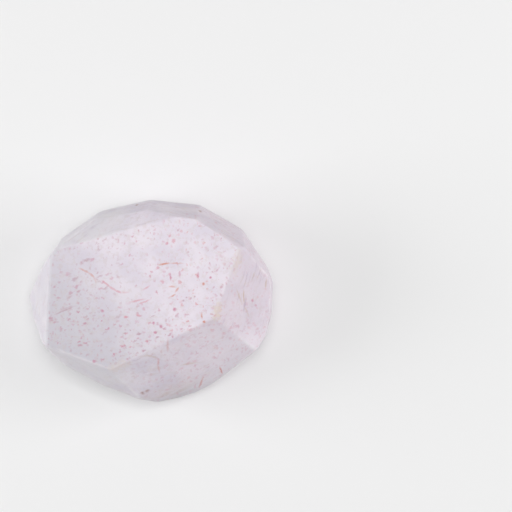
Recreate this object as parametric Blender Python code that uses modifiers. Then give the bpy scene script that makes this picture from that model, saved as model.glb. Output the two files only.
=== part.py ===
"""Half of a purple taro corm, peeled and lying on its cut face.

A taro corm is one piece of flesh, so the part is one solid. The corm was topped,
peeled with a knife in broad strokes, and cut in half across its middle. The half
rests on that cut. The solid starts as a block, and each knife stroke takes off
what lies outside its plane, as the real knife does.

Units are millimetres here and metres in the model. X runs along the corm's widest
way, Z points up, and the origin is on the cut face under the middle of the outline.
Every direction is an angle in degrees from +X, counted towards +Y.
"""

import math

import bmesh
import bpy
from mathutils import Matrix, Vector

MM = 0.001
UP = Vector((0.0, 0.0, 1.0))

# The block that the half is cut from. Its lower face is the cut across the middle.
BLOCK = (130.0, 110.0, 60.0)

# The trimmed face on top: its height over the origin, and its tilt
TOP_HEIGHT = 43.0
TOP_TILT = 5.8
TOP_DOWNHILL = 191.0

# Peeling strokes that start at the trimmed face. Each has the way it faces, how far
# its upper edge is from the vertical axis, and its flats: the steepness of each, and
# how far it runs outwards before the knife turns down into the next.
SHOULDER_STROKES = {
    "left": (176.6, 39.9, [(66.0, 20.0)]),
    "lower_left": (-109.7, 30.2, [(62.6, 20.0)]),
    "lower_right": (-63.8, 17.2, [(42.0, 14.0), (52.0, 4.0), (64.0, 4.0), (76.0, 6.0)]),
    "right": (-19.7, 27.15, [(41.1, 14.5), (51.1, 4.1), (63.3, 20.0)]),
    "upper_right": (55.0, 38.6, [(48.0, 5.0), (60.0, 20.0)]),
    "upper": (105.0, 30.0, [(44.0, 6.0), (58.0, 20.0)]),
    "upper_left": (128.0, 38.9, [(62.0, 20.0)]),
}

# Peeling strokes round the side: the way each faces, how far out it is at its
# widest, the height of that widest line over the cut face, and how far each flat
# over that line leans in
SIDE_STROKES = [
    (-4.2, 49.5, 14.0, [3.0]),
    (18.6, 50.0, 15.0, [3.0]),
    (33.7, 47.6, 16.5, [3.0, 8.0]),
    (60.3, 44.2, 14.5, [3.0, 14.0]),
    (84.3, 41.3, 12.5, [3.0, 14.0]),
    (102.7, 40.5, 11.5, [3.0, 13.0]),
    (124.7, 41.8, 13.5, [3.0, 9.0]),
    (145.3, 44.0, 16.0, [3.0]),
    (155.6, 45.6, 17.0, [3.0]),
    (192.6, 47.5, 15.5, [3.0]),
    (200.2, 46.7, 15.0, [3.0]),
    (211.0, 46.0, 14.5, [3.0]),
    (222.2, 43.8, 14.0, [3.0]),
    (230.7, 41.8, 13.5, [3.0]),
    (241.6, 39.2, 13.0, [3.0]),
    (248.0, 38.8, 12.5, [3.0]),
    (261.2, 40.0, 12.0, [3.0]),
    (279.9, 40.9, 11.5, [3.0]),
    (286.4, 41.1, 11.0, [3.0]),
    (297.0, 41.7, 11.0, [3.0]),
    (307.0, 42.1, 11.5, [3.0]),
    (328.4, 47.6, 12.5, [3.0]),
    (346.7, 49.2, 13.0, [3.0]),
]

# How far a side stroke tucks in under its widest line, and the height of each flat
# over that line
SIDE_TUCK = 6.0
SIDE_FLAT_HEIGHT = 10.0

# Corners closer together than this are one corner
CORNER_GAP = 1.8

# The knife's edges are soft rather than sharp
EDGE_ROUND = 0.8
EDGE_SEGMENTS = 3
EDGE_ANGLE = 9.0

FLESH_COLOUR = (0.78, 0.71, 0.77, 1.0)
FLESH_ROUGHNESS = 0.5


def facing(angle):
    """The level unit vector that points the way of an angle."""
    return Vector((math.cos(math.radians(angle)), math.sin(math.radians(angle)), 0.0))


def slope(angle):
    """Millimetres up or down for each millimetre outwards."""
    return math.tan(math.radians(angle))


def slice_off(block, point, normal):
    """One flat of the knife: takes off what lies beyond a plane and closes the cut."""
    whole = block.verts[:] + block.edges[:] + block.faces[:]
    cut = bmesh.ops.bisect_plane(
        block, geom=whole, plane_co=point, plane_no=normal, clear_outer=True
    )
    rim = [e for e in cut["geom_cut"] if isinstance(e, bmesh.types.BMEdge)]
    if rim:
        bmesh.ops.contextual_create(block, geom=rim)


def trim_top(block):
    """Cuts the trimmed face. Returns its normal's level part, which is how it falls."""
    fall = facing(TOP_DOWNHILL) * slope(TOP_TILT)
    slice_off(block, UP * TOP_HEIGHT, UP + fall)
    return fall


def peel_shoulders(block, fall):
    """Cuts the strokes that leave the trimmed face, flat by flat."""
    for angle, reach, flats in SHOULDER_STROKES.values():
        outwards = facing(angle)
        start = outwards * reach
        start.z = TOP_HEIGHT - start.dot(fall)
        for steepness, run in flats:
            slice_off(block, start, UP + fall + outwards * slope(steepness))
            step = outwards * run
            start += step - UP * (slope(steepness) * run + step.dot(fall))


def peel_sides(block):
    """Cuts each side stroke: the tucked flat below, then the flats over it."""
    for angle, reach, girth, leans in SIDE_STROKES:
        outwards = facing(angle)
        start = outwards * reach + UP * girth
        slice_off(block, start, outwards - UP * slope(SIDE_TUCK))
        for lean in leans:
            slice_off(block, start, outwards + UP * slope(lean))
            start += (UP - outwards * slope(lean)) * SIDE_FLAT_HEIGHT


def join_corners(block):
    """Joins corners that all but touch, at the highest, so the top stays flat."""
    corners = sorted(block.verts, key=lambda corner: corner.co.z, reverse=True)
    joined = {}
    for place, corner in enumerate(corners):
        if corner in joined:
            continue
        for lower in corners[place + 1:]:
            if lower not in joined and (lower.co - corner.co).length < CORNER_GAP:
                joined[lower] = corner
    bmesh.ops.weld_verts(block, targetmap=joined)


def middle_of(block):
    """The middle of the outline, seen from above."""
    spans = [[v.co[axis] for v in block.verts] for axis in (0, 1)]
    return Vector([(min(s) + max(s)) / 2 for s in spans] + [0.0])


def make_taro_half(collection):
    block = bmesh.new()
    bmesh.ops.create_cube(block, size=1.0)
    bmesh.ops.scale(block, vec=BLOCK, verts=block.verts)
    bmesh.ops.translate(block, vec=UP * (BLOCK[2] / 2), verts=block.verts)
    fall = trim_top(block)
    peel_shoulders(block, fall)
    peel_sides(block)
    join_corners(block)
    bmesh.ops.translate(block, vec=-middle_of(block), verts=block.verts)
    bmesh.ops.recalc_face_normals(block, faces=block.faces)
    block.transform(Matrix.Scale(MM, 4))
    mesh = bpy.data.meshes.new("taro_half")
    block.to_mesh(mesh)
    block.free()
    half = bpy.data.objects.new("taro_half", mesh)
    collection.objects.link(half)
    edges = half.modifiers.new("soft_edges", "BEVEL")
    edges.width = EDGE_ROUND * MM
    edges.segments = EDGE_SEGMENTS
    edges.limit_method = "ANGLE"
    edges.angle_limit = math.radians(EDGE_ANGLE)
    return half


def flesh_material():
    material = bpy.data.materials.new("taro_flesh")
    material.use_nodes = True
    shader = material.node_tree.nodes["Principled BSDF"]
    shader.inputs["Base Color"].default_value = FLESH_COLOUR
    shader.inputs["Roughness"].default_value = FLESH_ROUGHNESS
    shader.inputs["Metallic"].default_value = 0.0
    return material


def main():
    for old in list(bpy.data.objects):
        bpy.data.objects.remove(old)
    collection = bpy.data.collections.new("taro_root")
    bpy.context.scene.collection.children.link(collection)
    half = make_taro_half(collection)
    half.data.materials.append(flesh_material())
    half.data.shade_smooth()
    half.data.set_sharp_from_angle(angle=math.radians(EDGE_ANGLE))


main()
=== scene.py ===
import math
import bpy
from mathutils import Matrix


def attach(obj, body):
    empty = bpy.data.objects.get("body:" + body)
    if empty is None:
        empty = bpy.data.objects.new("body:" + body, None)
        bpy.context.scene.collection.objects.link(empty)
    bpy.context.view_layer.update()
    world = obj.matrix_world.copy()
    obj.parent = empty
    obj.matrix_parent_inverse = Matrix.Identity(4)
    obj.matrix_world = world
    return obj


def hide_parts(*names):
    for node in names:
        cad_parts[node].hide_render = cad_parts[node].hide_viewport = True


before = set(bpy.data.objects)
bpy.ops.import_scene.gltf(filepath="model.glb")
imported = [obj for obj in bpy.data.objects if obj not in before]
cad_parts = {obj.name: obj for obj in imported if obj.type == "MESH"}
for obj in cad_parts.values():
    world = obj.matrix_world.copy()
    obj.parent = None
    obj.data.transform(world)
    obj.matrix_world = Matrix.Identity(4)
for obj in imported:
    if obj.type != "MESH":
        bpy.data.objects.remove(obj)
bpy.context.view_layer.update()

from types import SimpleNamespace

import bmesh
import bpy
from mathutils import Vector, noise
from mathutils.bvhtree import BVHTree

# The peeled half, shape. It is one piece of raw taro flesh, firm and moist, with the
# skin cut off in broad knife strokes. The knife leaves nearly flat facets that sway a
# little, faint ridges along each stroke, and edges that are soft to the touch.
MM = 0.001
UP = Vector((0.0, 0.0, 1.0))

# The surface's mesh is this fine, in millimetres, and corners of the solid that lie
# this near are one. The surface is smoothed this often before and after the knife.
GRAIN = 0.55
JOINED_WITHIN = 0.001
PASSES_BEFORE, PASSES_AFTER = 2, 1

# The knife's marks, in millimetres: a broad sway, and ridges with their spacing and how
# far they run. The shift gives each facet ridges of its own. The marks fade out over
# the base height, and the flat cut, which faces down this far, has none.
SWAY_DEPTH, SWAY_LENGTH = 0.45, 14.0
RIDGE_DEPTH, RIDGE_SPACING, RIDGE_RUN = 0.11, 1.9, 26.0
RIDGE_SHIFT = 9.0
BASE_HEIGHT = 2.0
FACES_DOWN = -0.9
SEED = Vector((3.7, 1.9, 8.2))

# How far upright the surface faces where the flat cuts end and the peeled sides begin
CUT_FLAT, PEELED = 0.985, 0.935

# Scars where roots grew out, each by the way it faces, in degrees, and its height over
# the cut face. A scar is ragged, and taller than it is wide.
ROOT_SCARS = [
    (-94.8, 28.8), (-91.8, 28.9), (-127.0, 19.0), (163.0, 17.0),
    (98.0, 24.0), (28.0, 16.0), (61.0, 31.0),
]
SCAR_REACH, SCAR_DEPTH = 1.0, 0.3
SCAR_SHAPE = Vector((1.0, 1.0, 0.45))
SCAR_RAGGED, SCAR_RAGGED_RATE = 0.6, 1.1

# How far a point stands out from its neighbours, in millimetres, where a knife edge
# starts and at its middle
EDGE_START, EDGE_FULL = 0.006, 0.026

# The knife rolled over the left edge of the trimmed face. That edge lies beyond this
# much to the left and over this height, and is softened this many times.
ROLLED_LEFT, ROLLED_HEIGHT, ROLLED_PASSES = -34.0, 27.0, 40


def share(value, start, full):
    """0 at the start, 1 where it is full, and even between them."""
    return min(1.0, max(0.0, (value - start) / (full - start)))


def joined_solid(cad_object):
    """A mesh like the solid's, with its loose triangles joined, and its facets."""
    mesh = cad_object.data.copy()
    work = bmesh.new()
    work.from_mesh(mesh)
    bmesh.ops.remove_doubles(work, verts=work.verts, dist=JOINED_WITHIN * MM)
    work.to_mesh(mesh)
    facets = BVHTree.FromBMesh(work)
    work.free()
    return mesh, facets


def even_skin(piece):
    """Gives the piece an even mesh, fine enough to hold the knife's marks."""
    remesh = piece.modifiers.new("even_skin", "REMESH")
    remesh.mode = "VOXEL"
    remesh.voxel_size = GRAIN * MM
    evaluated = piece.evaluated_get(bpy.context.evaluated_depsgraph_get())
    dense = bpy.data.meshes.new_from_object(evaluated)
    piece.modifiers.clear()
    piece.data = dense


def smooth(skin, verts, passes):
    for _ in range(passes):
        bmesh.ops.smooth_vert(
            skin, verts=verts, factor=0.5, use_axis_x=True, use_axis_y=True, use_axis_z=True
        )
    skin.normal_update()


def edge_share(vert):
    """0 on a flat facet and 1 on the knife edge between two facets."""
    around = [edge.other_vert(vert).co for edge in vert.link_edges]
    middle = sum(around, Vector()) / len(around)
    bulge = (vert.co - middle).dot(vert.normal) / MM
    return share(bulge, EDGE_START, EDGE_FULL)


def scar_places(facets):
    """Where each root scar lies, in millimetres, pressed to the shape of a scar."""
    places = []
    for angle, height in ROOT_SCARS:
        outwards = Vector((math.cos(math.radians(angle)), math.sin(math.radians(angle)), 0.0))
        hit, _, _, _ = facets.ray_cast(UP * height * MM, outwards)
        places.append(hit / MM * SCAR_SHAPE)
    return places


def scar_share(point, scars):
    """1 in the middle of a root scar and 0 outside it."""
    gap = min((point * SCAR_SHAPE - scar).length for scar in scars)
    gap += SCAR_RAGGED * noise.noise(point * SCAR_RAGGED_RATE)
    return share(gap, SCAR_REACH, 0.0)


def knife_depth(point, facet):
    """How deep the knife went at a point, in millimetres, on a facet that faces so."""
    stroke = UP.cross(facet).normalized()
    across = facet.cross(stroke)
    along, over = point.dot(stroke), point.dot(across)
    sway = noise.noise(point / SWAY_LENGTH + SEED)
    lines = Vector((over / RIDGE_SPACING, along / RIDGE_RUN, facet.x * RIDGE_SHIFT))
    ridge = noise.noise(lines)
    return SWAY_DEPTH * (0.5 + 0.5 * sway) + RIDGE_DEPTH * (0.5 + 0.5 * ridge)


def cut_with_knife(piece, facets):
    """Moves the surface in by the knife's marks, and notes on its points what it is.

    It is peeled on the sides and not on the flat cuts, edged along the knife's edges,
    and scarred where a root grew out.
    """
    scars = scar_places(facets)
    skin = bmesh.new()
    skin.from_mesh(piece.data)
    peeled = skin.verts.layers.float.new("peeled")
    scarred = skin.verts.layers.float.new("scarred")
    edged = skin.verts.layers.float.new("edged")
    smooth(skin, skin.verts, PASSES_BEFORE)
    for vert in skin.verts:
        vert[edged] = edge_share(vert)
    for vert in skin.verts:
        point = vert.co / MM
        _, facet, _, _ = facets.find_nearest(vert.co)
        vert[peeled] = share(abs(vert.normal.z), CUT_FLAT, PEELED)
        vert[scarred] = scar_share(point, scars)
        depth = knife_depth(point, facet) + SCAR_DEPTH * vert[scarred]
        if facet.z > FACES_DOWN:
            vert.co -= facet * depth * min(1.0, point.z / BASE_HEIGHT) * MM
    smooth(skin, skin.verts, PASSES_AFTER)
    rolled = [
        vert for vert in skin.verts
        if vert.co.x < ROLLED_LEFT * MM and vert.co.z > ROLLED_HEIGHT * MM
    ]
    smooth(skin, rolled, ROLLED_PASSES)
    for vert in skin.verts:
        vert.co.z = max(vert.co.z, 0.0)
    skin.to_mesh(piece.data)
    skin.free()


solid_mesh, facets = joined_solid(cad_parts["taro_half"])
taro = bpy.data.objects.new("peeled_taro_half", solid_mesh)
bpy.context.scene.collection.objects.link(taro)
even_skin(taro)
cut_with_knife(taro, facets)
taro.data.shade_smooth()
taro.data.materials.clear()

# The peeled half, flesh. Purple taro is a pale lilac white, greyed towards the near left
# by painted shade, with red to violet strands running through it from end to end. A cut
# across them shows dots and dashes, and a cut along them shows streaks.


def shade(red, green, blue):
    """A colour as seen, 0 to 255, as the light that it gives back."""
    parts = [v / 255.0 for v in (red, green, blue)]
    parts = [v / 12.92 if v <= 0.04045 else ((v + 0.055) / 1.055) ** 2.4 for v in parts]
    return (*parts, 1.0)


FLESH_PALE = shade(236, 228, 237)
FLESH_LILAC = shade(225, 217, 229)
FLESH_MAUVE = shade(218, 204, 214)
FLESH_VIOLET = shade(206, 199, 214)
# A grey laid on as painted shade
FLESH_SHADE = shade(196, 194, 202)
FLESH_CHALKY = shade(223, 222, 225)
# Earthy brown, also laid on as painted shade
FLESH_EARTH_AND_SHADE = shade(184, 162, 148)
# A painted highlight along the knife's edges
EDGE_HIGHLIGHT = shade(246, 243, 247)
STAIN_BEIGE = shade(222, 206, 190)
SCAR_BROWN = shade(176, 140, 136)
FIBRE_BEIGE = shade(204, 186, 178)
FIBRE_VIOLET = shade(186, 166, 188)
STRAND_SHADES = {
    "violet": shade(180, 128, 146),
    "magenta": shade(200, 116, 148),
    "rose": shade(216, 134, 150),
    "rust": shade(212, 142, 122),
    "russet": shade(204, 122, 116),
    "tan": shade(196, 166, 142),
}


def add(tree, kind, settings=None, inputs=None):
    """Adds a node, sets it up, and sets or links its inputs."""
    made = tree.nodes.new(kind)
    for name, value in (settings or {}).items():
        setattr(made, name, value)
    for name, value in (inputs or {}).items():
        if isinstance(value, bpy.types.NodeSocket):
            tree.links.new(value, made.inputs[name])
        else:
            made.inputs[name].default_value = value
    return made


def maths(tree, operation, *values, clamp=False):
    settings = {"operation": operation, "use_clamp": clamp}
    return add(tree, "ShaderNodeMath", settings, dict(enumerate(values))).outputs[0]


def product(tree, first, *others):
    for other in others:
        first = maths(tree, "MULTIPLY", first, other)
    return first


def vector_maths(tree, operation, *values, output="Vector"):
    inputs = dict(enumerate(values))
    return add(tree, "ShaderNodeVectorMath", {"operation": operation}, inputs).outputs[output]


def fade(tree, value, start, full, least=0.0, most=1.0, kind="SMOOTHSTEP"):
    """The least at the start and the most where it is full, smooth or linear between."""
    inputs = {"Value": value, "From Min": start, "From Max": full}
    inputs.update({"To Min": least, "To Max": most})
    settings = {"interpolation_type": kind}
    return add(tree, "ShaderNodeMapRange", settings, inputs).outputs["Result"]


def tint(tree, amount, under, over):
    """Lays one colour over another by an amount."""
    inputs = {0: amount, 6: under, 7: over}
    return add(tree, "ShaderNodeMix", {"data_type": "RGBA"}, inputs).outputs[2]


def cloud(tree, where, rate, detail=1.0, output="Fac"):
    inputs = {"Vector": where, "Scale": rate, "Detail": detail}
    return add(tree, "ShaderNodeTexNoise", {}, inputs).outputs[output]


def drift(tree, where, rate, detail=1.0):
    """A soft drift to any side, by up to a half."""
    hues = cloud(tree, where, rate, detail, "Color")
    return vector_maths(tree, "SUBTRACT", hues, (0.5, 0.5, 0.5))


def noted(tree, name):
    """What the knife's work noted on the surface's points."""
    return add(tree, "ShaderNodeAttribute", {"attribute_name": name}).outputs["Fac"]


# Soft clouds, each by its rate, the detail in it, and the values of the noise where it
# starts and where it is full. A rate is in clouds to a millimetre, and for fibres and
# streaks in clouds to one of their own lengths.
CLOUDS = {
    "lilac": (0.09, 2.0, 0.30, 0.70),
    "mottle": (0.55, 3.0, 0.48, 0.68),
    "violet": (0.11, 3.0, 0.45, 0.70),
    "fibres": (1.0, 3.0, 0.50, 0.72),
    "strong_fibres": (0.15, 1.0, 0.40, 0.66),
    "violet_fibres": (0.25, 1.0, 0.40, 0.60),
    "streaks": (1.0, 5.0, 0.34, 0.66),
    "highlight_clouds": (0.35, 2.0, 0.35, 0.60),
}

# Where the finishes lie. Each row is an axis and, in millimetres, the place along it
# where a finish starts to show and the one where it shows in full.
REGIONS = {
    "left": [("X", -2.0, -20.0)],
    "right": [("X", 0.0, 16.0)],
    "near": [("Y", 3.0, -9.0)],
    "dashed": [("X", -2.0, -20.0), ("Y", -19.0, -7.0)],
    "mauve": [("X", -4.0, 34.0)],
    "fibrous": [("X", 12.0, 36.0)],
    "earth_and_shade": [
        ("Z", 31.0, 16.0), ("Z", 5.0, 15.0), ("Y", -14.0, -32.0),
        ("X", 26.0, 8.0), ("X", -28.0, -14.0),
    ],
    "girth": [("Z", 25.0, 15.0), ("Z", 0.0, 11.0), ("Y", -6.0, -22.0)],
    "highlight_patch": [("X", 8.0, 28.0), ("Y", -7.0, -17.0)],
    "rolled": [("X", -33.0, -37.0), ("Z", 35.0, 38.5)],
    "side_edges": [("Z", 39.5, 35.0), ("Z", 12.0, 26.0)],
    "strong_strands": [("X", -14.0, 8.0)],
    "leaning": [("Z", 38.0, 8.0)],
}


def clouds(tree, where, name, most=1.0):
    """How strong one kind of cloud is at a place."""
    rate, detail, start, full = CLOUDS[name]
    return fade(tree, cloud(tree, where, rate, detail), start, full, most=most)


def region(tree, spot, name):
    """How far a spot is inside a region: 0 outside it and 1 well inside."""
    fades = [fade(tree, spot.axes[axis], start, full) for axis, start, full in REGIONS[name]]
    return product(tree, *fades)


def on_peeled(tree, spot, name, strength=1.0):
    """How strong a finish of the peeled sides is in its region."""
    return product(tree, region(tree, spot, name), spot.peeled, strength)


# Marks wander about their place. Dots do so over this width in millimetres, strands
# over this part of it, and stains over this many times it, which blurs them.
WANDER, WANDER_RATE, WANDER_DETAIL = 2.2, 0.8, 3.0
STRAND_WANDER, STAIN_WANDER = 0.3, 2.5

# Strands are fainter in some patches and stronger in others
PATCH_RATE, PATCH_DETAIL = 0.9, 2.0
PATCH_START, PATCH_FULL = 0.36, 0.52
PATCH_FAINT, PATCH_STRONG = 0.75, 1.1


def flesh_spot(tree):
    """Where a spot of the flesh lies, in millimetres, and what its marks go by."""
    coords = add(tree, "ShaderNodeTexCoord").outputs["Object"]
    place = vector_maths(tree, "MULTIPLY", coords, (1.0 / MM,) * 3)
    level = vector_maths(tree, "MULTIPLY", place, (1.0, 1.0, 0.0))
    wander = drift(tree, place, WANDER_RATE, WANDER_DETAIL)
    wander = vector_maths(tree, "MULTIPLY", wander, (WANDER,) * 3)
    patch = cloud(tree, place, PATCH_RATE, PATCH_DETAIL)
    return SimpleNamespace(
        place=place,
        axes=add(tree, "ShaderNodeSeparateXYZ", {}, {0: place}).outputs,
        level=level,
        from_axis=vector_maths(tree, "LENGTH", level, output="Value"),
        peeled=noted(tree, "peeled"),
        wander=wander,
        uneven=vector_maths(tree, "ADD", place, wander),
        patchy=fade(
            tree, patch, PATCH_START, PATCH_FULL, PATCH_FAINT, PATCH_STRONG, "LINEAR"
        ),
    )


# Painted shade greys the flesh from the far right to the near left, less on the peeled
# sides than on the flat cut, and the flesh is faintly mottled
SHADE_SLANT, SHADE_START, SHADE_FULL = 0.9, 14.0, -50.0
CUT_SHADE, PEELED_SHADE = 0.75, 0.25
MOTTLE = 0.22


def ground_colour(tree, spot):
    """Pale flesh in slow lilac clouds, greyed by painted shade towards the near left."""
    colour = tint(tree, clouds(tree, spot.place, "lilac"), FLESH_PALE, FLESH_LILAC)
    slant = maths(tree, "MULTIPLY_ADD", spot.axes["Y"], SHADE_SLANT, spot.axes["X"])
    less = PEELED_SHADE - CUT_SHADE
    shade_weight = maths(tree, "MULTIPLY_ADD", spot.peeled, less, CUT_SHADE)
    # painted shade: a grey that deepens towards the near left, less on the peeled sides
    painted_shade = product(tree, fade(tree, slant, SHADE_START, SHADE_FULL), shade_weight)
    colour = tint(tree, painted_shade, colour, FLESH_SHADE)
    return tint(tree, clouds(tree, spot.uneven, "mottle", MOTTLE), colour, FIBRE_BEIGE)


# How strong the finishes of the peeled sides are in full
CHALKY, MAUVE, VIOLET = 0.5, 0.5, 0.3


def peeled_colour(tree, spot, colour):
    """The peeled sides: chalky at the left and mauve at the right, in violet clouds."""
    colour = tint(tree, on_peeled(tree, spot, "left", CHALKY), colour, FLESH_CHALKY)
    colour = tint(tree, on_peeled(tree, spot, "mauve", MAUVE), colour, FLESH_MAUVE)
    violet = product(tree, spot.peeled, clouds(tree, spot.uneven, "violet", VIOLET))
    return tint(tree, violet, colour, FLESH_VIOLET)


# Fine fibres run round the root in wavy layers that rise outwards, and show on the
# peeled sides. These are the lengths of fibre to a radian, a layer's slope and
# thickness, its waves to a millimetre and their height, and how the fibres wander.
FIBRE_TURNS = 4.5
FIBRE_SLOPE, FIBRE_THICKNESS = -0.6, 0.8
FIBRE_WAVES, FIBRE_WAVE_HEIGHT = 0.05, 10.0
FIBRE_WANDER = (0.15, 0.15, 0.6)
FIBRES, FIBRES_MORE = 0.32, 0.3


def fibre_layers(tree, spot):
    """How much fibre there is at a spot of the peeled sides."""
    outwards = vector_maths(tree, "NORMALIZE", spot.level)
    around = vector_maths(tree, "MULTIPLY", outwards, (FIBRE_TURNS, FIBRE_TURNS, 0.0))
    layer = maths(tree, "MULTIPLY_ADD", spot.from_axis, FIBRE_SLOPE, spot.axes["Z"])
    wave = cloud(tree, spot.place, FIBRE_WAVES)
    layer = maths(tree, "MULTIPLY_ADD", wave, FIBRE_WAVE_HEIGHT, layer)
    layer = maths(tree, "DIVIDE", layer, FIBRE_THICKNESS)
    lift = add(tree, "ShaderNodeCombineXYZ", {}, {"Z": layer}).outputs["Vector"]
    laid = vector_maths(tree, "ADD", around, lift)
    laid = vector_maths(tree, "MULTIPLY_ADD", spot.wander, FIBRE_WANDER, laid)
    strong = clouds(tree, spot.place, "strong_fibres")
    return product(tree, clouds(tree, laid, "fibres"), spot.peeled, strong)


def fibre_colour(tree, spot, colour, fibres):
    """Beige and violet fibres, stronger towards the right."""
    violet = clouds(tree, spot.place, "violet_fibres")
    hue = tint(tree, violet, FIBRE_BEIGE, FIBRE_VIOLET)
    shown = maths(tree, "MULTIPLY_ADD", region(tree, spot, "fibrous"), FIBRES_MORE, FIBRES)
    return tint(tree, product(tree, fibres, shown), colour, hue)


# The streaks round the near side, earthy colour darkened as painted shade, are long and low.
# They show this much, and this much more where they are full. Then come the girth's band
# of painted shade and a painted highlight at its right end.
STREAK_SHAPE = (0.10, 0.10, 0.45)
STREAKS, STREAKS_MORE = 0.08, 0.55
GIRTH_SHADE, HIGHLIGHT_PATCH = 0.65, 0.6


def girth_colour(tree, spot, colour):
    """The near side's girth: earthy streaks and painted shade, and a painted highlight at its
    right.
    """
    streaks = vector_maths(tree, "MULTIPLY", spot.uneven, STREAK_SHAPE)
    streaks = clouds(tree, streaks, "streaks")
    shown = maths(tree, "MULTIPLY_ADD", streaks, STREAKS_MORE, STREAKS)
    earth_and_shade = product(tree, on_peeled(tree, spot, "earth_and_shade"), shown)
    # earthy colour that also stands in for shade low on the near side
    colour = tint(tree, earth_and_shade, colour, FLESH_EARTH_AND_SHADE)
    # painted shade: a grey band round the near side's girth
    colour = tint(tree, on_peeled(tree, spot, "girth", GIRTH_SHADE), colour, FLESH_SHADE)
    # painted highlight: a pale patch on the near right facet
    return tint(tree, on_peeled(tree, spot, "highlight_patch", HIGHLIGHT_PATCH), colour, FLESH_PALE)


# A painted highlight lies a little all along an edge and more in clouds. It shows faintly
# near the flat cuts and more on the sides. Where the knife rolled over, painted shade darkens
# it.
HIGHLIGHT_EVEN, HIGHLIGHT_MORE = 0.4, 0.6
EDGES, SIDE_EDGES_MORE = 0.1, 0.45
ROLLED_SHADE = 0.3


def edge_colour(tree, spot, colour):
    """The knife's edges with a painted highlight, and painted shade where the knife rolled
    over.
    """
    rolled = region(tree, spot, "rolled")
    highlight_clouds = maths(tree, "MULTIPLY_ADD", clouds(tree, spot.place, "highlight_clouds"), HIGHLIGHT_MORE, HIGHLIGHT_EVEN)
    sides = region(tree, spot, "side_edges")
    sides = maths(tree, "MULTIPLY_ADD", sides, SIDE_EDGES_MORE, EDGES)
    # painted shade where the knife rolled over the left edge
    shown = maths(tree, "MULTIPLY_ADD", rolled, ROLLED_SHADE, product(tree, highlight_clouds, sides))
    edge_shade = tint(tree, rolled, EDGE_HIGHLIGHT, FLESH_SHADE)
    # painted highlight along the knife's edges, and painted shade at the rolled edge
    return tint(tree, product(tree, noted(tree, "edged"), shown), colour, edge_shade)


# Strands that show best. Each runs from one place to another, in millimetres as seen
# from above, and has its half width and how strong it is.
STRANDS = {
    "rose": [
        ((-18.4, 8.3), (-15.6, 6.1), 0.60, 0.50),
        ((-15.6, 6.1), (-13.0, 4.5), 0.65, 0.45),
        ((-13.0, 4.5), (-11.3, 3.8), 0.60, 0.50),
        ((-11.3, 3.8), (-8.0, 3.8), 0.60, 0.20),
        ((-7.1, 0.0), (-2.1, 1.1), 0.55, 0.50),
        ((-4.1, -0.8), (0.2, 0.8), 0.50, 0.50),
        ((-2.3, 4.8), (0.2, 6.3), 0.50, 0.45),
        ((6.8, -8.4), (8.9, -9.6), 0.60, 0.25),
        ((-9.5, -5.9), (-8.7, -5.9), 0.80, 0.65),
        ((-4.7, -5.1), (-3.5, -5.5), 0.70, 0.65),
    ],
    "violet": [
        ((-36.9, -4.8), (-30.3, -2.0), 0.50, 0.45),
        ((-33.9, -2.8), (-30.4, -1.6), 0.50, 0.25),
        ((-32.7, 1.2), (-30.4, 2.5), 0.55, 0.30),
        ((13.5, 0.6), (13.8, 0.6), 0.60, 0.50),
        ((14.7, 1.8), (15.0, 1.9), 0.55, 0.45),
        ((16.5, 1.2), (16.7, 1.7), 0.60, 0.50),
        ((18.0, 2.0), (18.2, 2.2), 0.60, 0.45),
    ],
    "magenta": [
        ((4.7, -9.5), (4.9, -9.8), 0.85, 0.65),
        ((1.8, -8.3), (2.0, -8.3), 0.85, 0.70),
        ((2.3, -12.0), (2.6, -12.0), 0.75, 0.65),
        ((8.6, 11.1), (8.6, 8.9), 0.50, 0.60),
        ((19.5, 11.5), (19.5, 9.7), 0.65, 0.45),
        ((12.3, 11.9), (12.3, 10.3), 0.65, 0.35),
        ((10.0, -3.1), (10.4, -2.7), 0.90, 0.80),
        ((-18.6, -3.5), (-18.2, -3.6), 0.80, 0.55),
        ((40.8, 0.6), (41.3, 0.2), 0.75, 0.50),
        ((42.2, -1.4), (42.5, -1.7), 0.65, 0.45),
        ((24.2, 9.7), (24.6, 9.7), 0.65, 0.70),
    ],
    "rust": [
        ((-27.3, 13.2), (-24.0, 11.7), 0.60, 0.60),
        ((-24.0, 11.7), (-21.9, 9.8), 0.60, 0.50),
        ((-21.9, 9.8), (-20.9, 7.8), 0.55, 0.20),
        ((4.4, 14.8), (8.0, 15.3), 0.60, 0.80),
        ((8.0, 15.3), (13.1, 15.3), 0.45, 0.45),
        ((8.2, 6.1), (10.1, 6.1), 0.60, 0.50),
        ((10.6, 4.2), (11.7, 5.6), 0.55, 0.60),
        ((8.7, 2.1), (10.3, 3.0), 0.50, 0.70),
        ((20.8, -4.7), (21.0, -6.3), 0.55, 0.85),
        ((21.6, -7.8), (22.0, -7.8), 0.75, 0.90),
        ((21.5, 7.3), (21.7, 7.1), 0.80, 0.75),
    ],
    "russet": [
        ((7.4, -15.4), (7.3, -19.4), 0.70, 0.30),
        ((3.6, -23.1), (3.4, -25.5), 0.65, 0.40),
        ((3.4, -25.5), (3.9, -28.0), 0.60, 0.30),
        ((27.9, -26.7), (28.8, -29.4), 0.55, 0.65),
        ((21.0, -30.8), (19.2, -35.3), 0.55, 0.50),
    ],
    "tan": [
        ((34.8, 4.8), (36.8, -0.8), 0.45, 0.40),
        ((37.4, 4.3), (37.6, -0.4), 0.45, 0.60),
        ((37.9, -2.0), (39.5, -5.7), 0.50, 0.35),
        ((-3.9, -21.7), (-0.4, -21.2), 0.60, 0.15),
        ((-0.4, -21.2), (3.1, -22.2), 0.60, 0.35),
        ((12.9, -25.2), (18.8, -24.3), 0.60, 0.30),
        ((46.5, 8.6), (46.1, 5.5), 0.60, 0.45),
    ],
}

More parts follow.
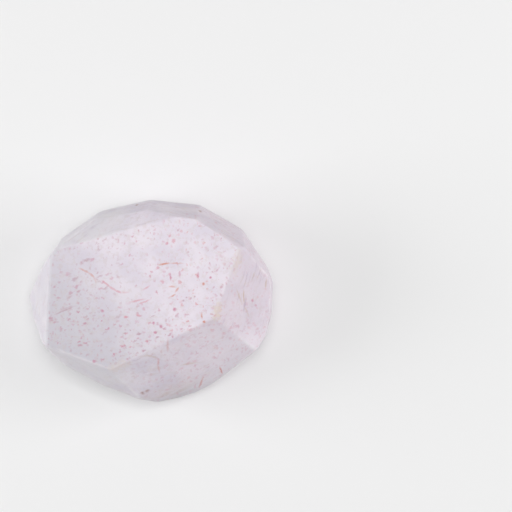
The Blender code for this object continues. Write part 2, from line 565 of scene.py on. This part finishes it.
# Beige stains where the skin was not cut quite deep enough, along the facets' edges
STAINS = [
    ((26.3, -6.0), (27.7, -1.5), 2.6, 0.55),
    ((34.0, 12.7), (35.6, 19.0), 2.4, 0.35),
    ((-15.1, -26.5), (-9.1, -24.7), 2.4, 0.30),
]

# From its middle a mark reaches this part of its length and this part of its half
# width. It is this many times deeper than wide and never less deep than the least, in
# millimetres. It ends at its rim and is full from its core inwards.
MARK_REACH, MARK_OVERRUN = 0.75, 0.8
MARK_DEPTH, LEAST_DEPTH = 2.5, 1.2
MARK_RIM, MARK_CORE = 1.0, 0.3

# A root scar's brown, a little more than full, so that its middle is even
SCARRED = 1.1


def seen_from_above(x, y):
    """The point of the solid that shows from above at a place, in millimetres."""
    hit, _, _, _ = facets.ray_cast(Vector((x, y, 0.0)) * MM + UP, -UP)
    return hit / MM


def lay_marks(tree, spot, wander, colour, marks, over):
    """Lays marks of one colour over what is there, and returns the colour so far."""
    place = vector_maths(tree, "MULTIPLY_ADD", spot.wander, (wander,) * 3, spot.place)
    shown = 0.0
    for start, end, width, strength in marks:
        start, end = seen_from_above(*start), seen_from_above(*end)
        turn = (end - start).to_track_quat("X", "Z").to_euler()
        reach = MARK_REACH * (end - start).length + MARK_OVERRUN * width
        inputs = {"Vector": place, "Location": (start + end) / 2, "Rotation": turn}
        inputs["Scale"] = (reach, width, max(MARK_DEPTH * width, LEAST_DEPTH))
        near = add(tree, "ShaderNodeMapping", {"vector_type": "TEXTURE"}, inputs).outputs[0]
        gap = vector_maths(tree, "LENGTH", near, output="Value")
        mark = fade(tree, gap, MARK_RIM, MARK_CORE, most=strength)
        shown = maths(tree, "MAXIMUM", mark, shown)
    return tint(tree, product(tree, shown, spot.patchy), colour, over)


def blemish_colour(tree, spot, colour):
    """Brown root scars, and beige stains along the facets' edges."""
    scars = maths(tree, "MULTIPLY", noted(tree, "scarred"), SCARRED, clamp=True)
    colour = tint(tree, scars, colour, SCAR_BROWN)
    return lay_marks(tree, spot, STAIN_WANDER, colour, STAINS, STAIN_BEIGE)


# Layers of strands that the knife met. Each has its spacing, in millimetres along and
# across its dashes and along the strands, the angle of its dashes in degrees, the size
# of a dot to the spacing, where the layer shows, and how strong it is.
STRAND_LAYERS = [
    ((1.7, 1.7, 5.0), 0.0, 0.30, "everywhere", 0.28),
    ((2.7, 2.7, 9.0), 0.0, 0.23, "dotted", 0.51),
    ((2.7, 1.6, 7.0), 14.0, 0.31, "near", 0.60),
    ((4.2, 2.4, 7.0), 20.0, 0.25, "dashed", 0.42),
    ((8.0, 2.6, 8.0), 25.0, 0.20, "dashed", 0.42),
    ((1.9, 3.2, 9.0), 0.0, 0.22, "right", 0.46),
]

# The smallest dot is this part of its layer's size, and the largest is a whole size
# more. A dot is full up to this part of itself, and a strand is faint if its draw is
# less than this under the share that shows. Among dashes this part of the dots stays.
DOT_LEAST, DOT_CORE, DOT_FAINT = 0.55, 0.3, 0.35
DOTS_AMONG_DASHES = 0.4

# The share of strands that show, and how much it grows away from the axis, to the
# right, to the near side, and in clouds. It shrinks again at the near left edge.
CROWDED = 0.45
CROWDED_OUTSIDE, OUTSIDE_START, OUTSIDE_FULL = 0.30, 8.0, 28.0
CROWDED_RIGHT, CROWDED_NEAR = 0.15, 0.21
CROWDED_IN_CLOUDS, CROWD_RATE = 0.45, 0.12
CROWDED_NEAR_LEFT, NEAR_LEFT_START, NEAR_LEFT_FULL = -0.35, 24.0, 29.0
NEAR_LEFT = (-0.34, -0.94, 0.0)

# How strong strands are on the peeled sides, at their left and at their right. Hues run
# from violet to rust, by a draw from 0 to 1, and are redder at the right.
STRANDS_LEFT, STRANDS_RIGHT = 0.13, 0.41
HUES = {"violet": 0.0, "magenta": 0.45, "rose": 0.7, "rust": 0.95}
HUE_RANGE, REDDER_LEFT, REDDER_RIGHT = 0.62, -0.12, 0.22

# Strands lean this way and that lower down, by up to half of this, in millimetres
LEAN, LEAN_RATE = 26.0, 0.04


def strand_crowding(tree, spot, shares):
    """The share of strands that show at a spot."""
    outside = fade(tree, spot.from_axis, OUTSIDE_START, OUTSIDE_FULL)
    near_left = vector_maths(tree, "DOT_PRODUCT", spot.place, NEAR_LEFT, output="Value")
    crowding = CROWDED
    for where, more in (
        (outside, CROWDED_OUTSIDE),
        (shares["right"], CROWDED_RIGHT),
        (shares["near"], CROWDED_NEAR),
        (cloud(tree, spot.place, CROWD_RATE), CROWDED_IN_CLOUDS),
        (fade(tree, near_left, NEAR_LEFT_START, NEAR_LEFT_FULL), CROWDED_NEAR_LEFT),
    ):
        crowding = maths(tree, "MULTIPLY_ADD", where, more, crowding)
    return crowding


def strand_hue(tree, draw):
    """The colour of a strand, by a draw from 0 to 1."""
    picked = add(tree, "ShaderNodeValToRGB", {}, {"Fac": draw})
    stops = picked.color_ramp.elements
    stops.remove(stops[1])
    for name, position in HUES.items():
        stop = stops[0] if position == 0.0 else stops.new(position)
        stop.color = STRAND_SHADES[name]
    return picked.outputs["Color"]


def cut_strands(tree, place, spacing, turn, size, keep):
    """One layer of strands: how much of one shows, and a draw for its colour."""
    inputs = {"Vector": place, "Angle": -math.radians(turn)}
    settings = {"rotation_type": "Z_AXIS"}
    turned = add(tree, "ShaderNodeVectorRotate", settings, inputs).outputs["Vector"]
    cells = vector_maths(tree, "DIVIDE", turned, spacing)
    found = add(tree, "ShaderNodeTexVoronoi", {}, {"Vector": cells, "Scale": 1.0})
    draws = add(tree, "ShaderNodeSeparateColor", {}, {0: found.outputs["Color"]}).outputs
    spare = maths(tree, "SUBTRACT", keep, draws[0])
    shown = fade(tree, spare, 0.0, DOT_FAINT)
    rim = maths(tree, "MULTIPLY_ADD", draws[1], size, size * DOT_LEAST)
    core = maths(tree, "MULTIPLY", rim, DOT_CORE)
    mask = fade(tree, found.outputs["Distance"], rim, core)
    return product(tree, mask, shown), draws[2]


def strand_colour(tree, spot, colour):
    """The cut strands in layers of dots and dashes, and over them the best strands."""
    shares = {name: region(tree, spot, name) for name in ("left", "right", "near", "dashed")}
    fewer = DOTS_AMONG_DASHES - 1.0
    shares["dotted"] = maths(tree, "MULTIPLY_ADD", shares["dashed"], fewer, 1.0)
    shares["everywhere"] = 1.0
    crowding = strand_crowding(tree, spot, shares)
    more = STRANDS_RIGHT - STRANDS_LEFT
    strong = region(tree, spot, "strong_strands")
    strong = maths(tree, "MULTIPLY_ADD", strong, more, STRANDS_LEFT - 1.0)
    strong = maths(tree, "MULTIPLY_ADD", spot.peeled, strong, 1.0)
    redder = product(tree, shares["right"], REDDER_RIGHT)
    redder = maths(tree, "MULTIPLY_ADD", shares["left"], REDDER_LEFT, redder)
    lean = product(tree, region(tree, spot, "leaning"), LEAN)
    slow = drift(tree, spot.place, LEAN_RATE)
    leaning = vector_maths(tree, "MULTIPLY_ADD", slow, lean, spot.uneven)
    for spacing, turn, size, where, strength in STRAND_LAYERS:
        mask, draw = cut_strands(tree, leaning, spacing, turn, size, crowding)
        mask = product(tree, mask, shares[where], strong, strength)
        draw = maths(tree, "MULTIPLY_ADD", draw, HUE_RANGE, redder)
        colour = tint(tree, mask, colour, strand_hue(tree, draw))
    for name, strands in STRANDS.items():
        colour = lay_marks(tree, spot, STRAND_WANDER, colour, strands, STRAND_SHADES[name])
    return colour


# The surface has a fine grain that the fibres stand out of, this many millimetres high,
# and patches that are moist or dry. Some light goes into the flesh, this many
# millimetres deep, and the red in it goes deepest.
RELIEF_RATE, RELIEF_DETAIL, FIBRE_RELIEF = 1.6, 4.0, 0.8
RELIEF_HEIGHT, RELIEF_STRENGTH = 0.12, 0.5
MOIST_RATE, MOIST_DETAIL = 0.12, 3.0
NOISE_MOIST, NOISE_DRY = 0.3, 0.7
ROUGHNESS_MOIST, ROUGHNESS_DRY = 0.42, 0.62
SHINE = 0.4
LIGHT_INSIDE, LIGHT_DEPTH, LIGHT_HUES = 0.12, 1.5, (1.0, 0.7, 0.8)


def finish_surface(tree, shader, spot, fibres):
    """Gives the flesh its grain, its moist patches, and the light that goes into it."""
    grain = cloud(tree, spot.place, RELIEF_RATE, RELIEF_DETAIL)
    height = maths(tree, "MULTIPLY_ADD", fibres, FIBRE_RELIEF, grain)
    inputs = {"Height": height, "Strength": RELIEF_STRENGTH, "Distance": RELIEF_HEIGHT * MM}
    relief = add(tree, "ShaderNodeBump", {}, inputs)
    tree.links.new(relief.outputs["Normal"], shader.inputs["Normal"])
    moist = cloud(tree, spot.place, MOIST_RATE, MOIST_DETAIL)
    roughness = fade(
        tree, moist, NOISE_MOIST, NOISE_DRY, ROUGHNESS_MOIST, ROUGHNESS_DRY, "LINEAR"
    )
    tree.links.new(roughness, shader.inputs["Roughness"])
    shader.inputs["Specular IOR Level"].default_value = SHINE
    shader.inputs["Subsurface Weight"].default_value = LIGHT_INSIDE
    shader.inputs["Subsurface Radius"].default_value = LIGHT_HUES
    shader.inputs["Subsurface Scale"].default_value = LIGHT_DEPTH * MM


def flesh_material():
    material = bpy.data.materials.new("purple_taro_flesh")
    material.use_nodes = True
    tree = material.node_tree
    shader = tree.nodes["Principled BSDF"]
    spot = flesh_spot(tree)
    fibres = fibre_layers(tree, spot)
    colour = ground_colour(tree, spot)
    colour = peeled_colour(tree, spot, colour)
    colour = fibre_colour(tree, spot, colour, fibres)
    colour = girth_colour(tree, spot, colour)
    colour = edge_colour(tree, spot, colour)
    colour = blemish_colour(tree, spot, colour)
    colour = strand_colour(tree, spot, colour)
    tree.links.new(colour, shader.inputs["Base Color"])
    finish_surface(tree, shader, spot, fibres)
    return material


taro.data.materials.append(flesh_material())
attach(taro, "root")
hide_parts("taro_half")

# The floor is a plain, matt, pale sheet that the half lies on. It is let down by a hair,
# so that it never touches the cut face.
FLOOR_SIZE = 6.0
FLOOR_DROP = 0.15
FLOOR_PALE = shade(243, 243, 243)
FLOOR_ROUGHNESS = 0.85

sheet = bmesh.new()
bmesh.ops.create_grid(sheet, x_segments=1, y_segments=1, size=FLOOR_SIZE / 2)
bmesh.ops.translate(sheet, vec=-UP * FLOOR_DROP * MM, verts=sheet.verts)
floor_mesh = bpy.data.meshes.new("pale_floor")
sheet.to_mesh(floor_mesh)
sheet.free()
floor = bpy.data.objects.new("pale_floor", floor_mesh)
bpy.context.scene.collection.objects.link(floor)
paint = bpy.data.materials.new("pale_floor")
paint.use_nodes = True
paint.node_tree.nodes["Principled BSDF"].inputs["Base Color"].default_value = FLOOR_PALE
paint.node_tree.nodes["Principled BSDF"].inputs["Roughness"].default_value = FLOOR_ROUGHNESS
floor.data.materials.append(paint)

# Soft studio light: a lamp almost straight overhead and a little to the far side, which
# leaves the near side darker, a weaker one at the left and at the right, and a pale
# room all round. Each lamp has its place and width in metres and its power in watts.
LAMPS = {
    "overhead_soft": ((0.05, 0.13, 1.48), 0.5, 6.85),
    "left_soft": ((-0.9, 0.02, 0.42), 0.6, 4.2),
    "right_soft": ((0.9, 0.05, 0.42), 0.6, 3.7),
}
ROOM_WHITE = (1.0, 1.0, 1.0, 1.0)
ROOM_STRENGTH = 0.36

for name, (position, width, power) in LAMPS.items():
    lamp = bpy.data.lights.new(name, "AREA")
    lamp.size = width
    lamp.energy = power
    holder = bpy.data.objects.new(name, lamp)
    holder.location = position
    holder.rotation_mode = "QUATERNION"
    holder.rotation_quaternion = (-Vector(position)).to_track_quat("-Z", "Y")
    holder.visible_camera = False
    bpy.context.scene.collection.objects.link(holder)
room = bpy.data.worlds.new("pale_room")
room.use_nodes = True
room.node_tree.nodes["Background"].inputs["Color"].default_value = ROOM_WHITE
room.node_tree.nodes["Background"].inputs["Strength"].default_value = ROOM_STRENGTH
bpy.context.scene.world = room

# The camera looks straight down, with the half at the lower left of its view. Its place,
# lens and sensor are in millimetres, and it sees this many metres far.
CAMERA_PLACE = Vector((42.309, 18.181, 1166.222))
LENS, SENSOR = 200.0, 36.0
SEES_TO = 20.0

eye = bpy.data.cameras.new("camera")
eye.lens = LENS
eye.sensor_width = SENSOR
eye.clip_end = SEES_TO
camera = bpy.data.objects.new("camera", eye)
camera.location = CAMERA_PLACE * MM
bpy.context.scene.collection.objects.link(camera)
bpy.context.scene.camera = camera
bpy.context.scene.view_settings.view_transform = "Standard"
